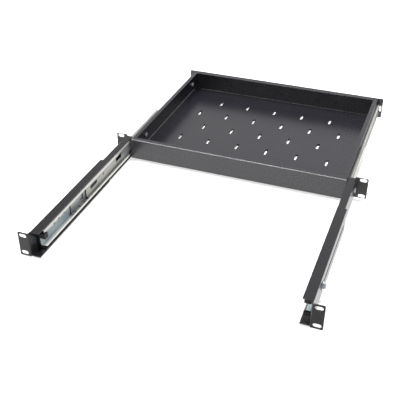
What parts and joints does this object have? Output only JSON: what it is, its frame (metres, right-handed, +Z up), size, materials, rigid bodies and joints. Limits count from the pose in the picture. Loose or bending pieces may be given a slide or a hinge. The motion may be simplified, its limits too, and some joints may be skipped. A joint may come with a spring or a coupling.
{
  "type": "sliding rack shelf",
  "caption": "Sheet-metal tray for a 19 inch rack that slides out on ball slides, with brackets of adjustable depth.",
  "frame": {"origin": "centre of the front ears' four mounting slots, in the plane of the ears' rear faces", "axes": "+Z up, front faces -Y, +X on the right of a user who stands at the front; drawn with the tray fully out"},
  "size_m": [0.4826, 0.6777, 0.0436],
  "materials": {
    "black_paint": "satin black powder coat",
    "panel_paint": "satin black powder coat",
    "bracket_paint": "satin black powder coat",
    "black_rivet": "black steel rivet",
    "zinc_slide": "bright zinc plate",
    "zinc_fastener": "bright zinc plate",
    "cage_steel": "pressed steel strip",
    "ball_steel": "polished steel balls",
    "black_rubber": "matt black rubber"
  },
  "bodies": {
    "brackets": {"front_bracket_left": "bracket_paint", "front_bracket_right": "bracket_paint", "outer_rail_left": "zinc_slide", "outer_rail_right": "zinc_slide", "rail_bumper_left": "black_rubber", "rail_bumper_right": "black_rubber", "rail_screw_left": "zinc_fastener", "rail_screw_right": "zinc_fastener", "rail_rivet_left": "zinc_fastener", "rail_rivet_right": "zinc_fastener", "clamp_stud_left": "zinc_fastener", "clamp_stud_right": "zinc_fastener", "clamp_spacer_left": "zinc_fastener", "clamp_spacer_right": "zinc_fastener", "clamp_washer_left": "zinc_fastener", "clamp_washer_right": "zinc_fastener", "clamp_nut_left": "zinc_fastener", "clamp_nut_right": "zinc_fastener"},
    "tray": {"tray_pan": "black_paint", "tray_back": "black_paint", "front_panel": "panel_paint", "panel_rivets": "black_rivet", "inner_rail_left": "zinc_slide", "inner_rail_right": "zinc_slide", "tray_screws_left": "zinc_fastener", "tray_screws_right": "zinc_fastener"},
    "middle_left": {"middle_rail_left": "zinc_slide", "middle_buffer_left": "black_rubber"},
    "outer_cage_left": {"outer_cage_left": "cage_steel", "outer_balls_left": "ball_steel"},
    "inner_cage_left": {"inner_cage_left": "cage_steel", "inner_balls_left": "ball_steel"},
    "rear_bracket_left": {"rear_bracket_left": "bracket_paint"},
    "middle_right": {"middle_rail_right": "zinc_slide", "middle_buffer_right": "black_rubber"},
    "outer_cage_right": {"outer_cage_right": "cage_steel", "outer_balls_right": "ball_steel"},
    "inner_cage_right": {"inner_cage_right": "cage_steel", "inner_balls_right": "ball_steel"},
    "rear_bracket_right": {"rear_bracket_right": "bracket_paint"}
  },
  "joints": [
    {"name": "tray_slide", "type": "slide", "parent": "brackets", "child": "tray", "axis": [0, 1, 0], "range_m": [0, 0.327]},
    {"name": "middle_slide_left", "type": "slide", "parent": "brackets", "child": "middle_left", "axis": [0, 1, 0], "range_m": [0, 0.1354]},
    {"name": "outer_cage_slide_left", "type": "slide", "parent": "brackets", "child": "outer_cage_left", "axis": [0, 1, 0], "range_m": [0, 0.0678]},
    {"name": "inner_cage_slide_left", "type": "slide", "parent": "brackets", "child": "inner_cage_left", "axis": [0, 1, 0], "range_m": [0, 0.2313]},
    {"name": "depth_slide_left", "type": "slide", "parent": "brackets", "child": "rear_bracket_left", "axis": [0, 1, 0], "range_m": [0, 0.15]},
    {"name": "middle_slide_right", "type": "slide", "parent": "brackets", "child": "middle_right", "axis": [0, 1, 0], "range_m": [0, 0.1354]},
    {"name": "outer_cage_slide_right", "type": "slide", "parent": "brackets", "child": "outer_cage_right", "axis": [0, 1, 0], "range_m": [0, 0.0678]},
    {"name": "inner_cage_slide_right", "type": "slide", "parent": "brackets", "child": "inner_cage_right", "axis": [0, 1, 0], "range_m": [0, 0.2313]},
    {"name": "depth_slide_right", "type": "slide", "parent": "brackets", "child": "rear_bracket_right", "axis": [0, 1, 0], "range_m": [0, 0.15]}
  ],
  "couplings": [
    {"joint": "middle_slide_left", "follows": "tray_slide", "ratio": 0.4136},
    {"joint": "outer_cage_slide_left", "follows": "tray_slide", "ratio": 0.2068},
    {"joint": "inner_cage_slide_left", "follows": "tray_slide", "ratio": 0.7068},
    {"joint": "middle_slide_right", "follows": "tray_slide", "ratio": 0.4136},
    {"joint": "outer_cage_slide_right", "follows": "tray_slide", "ratio": 0.2068},
    {"joint": "inner_cage_slide_right", "follows": "tray_slide", "ratio": 0.7068}
  ]
}
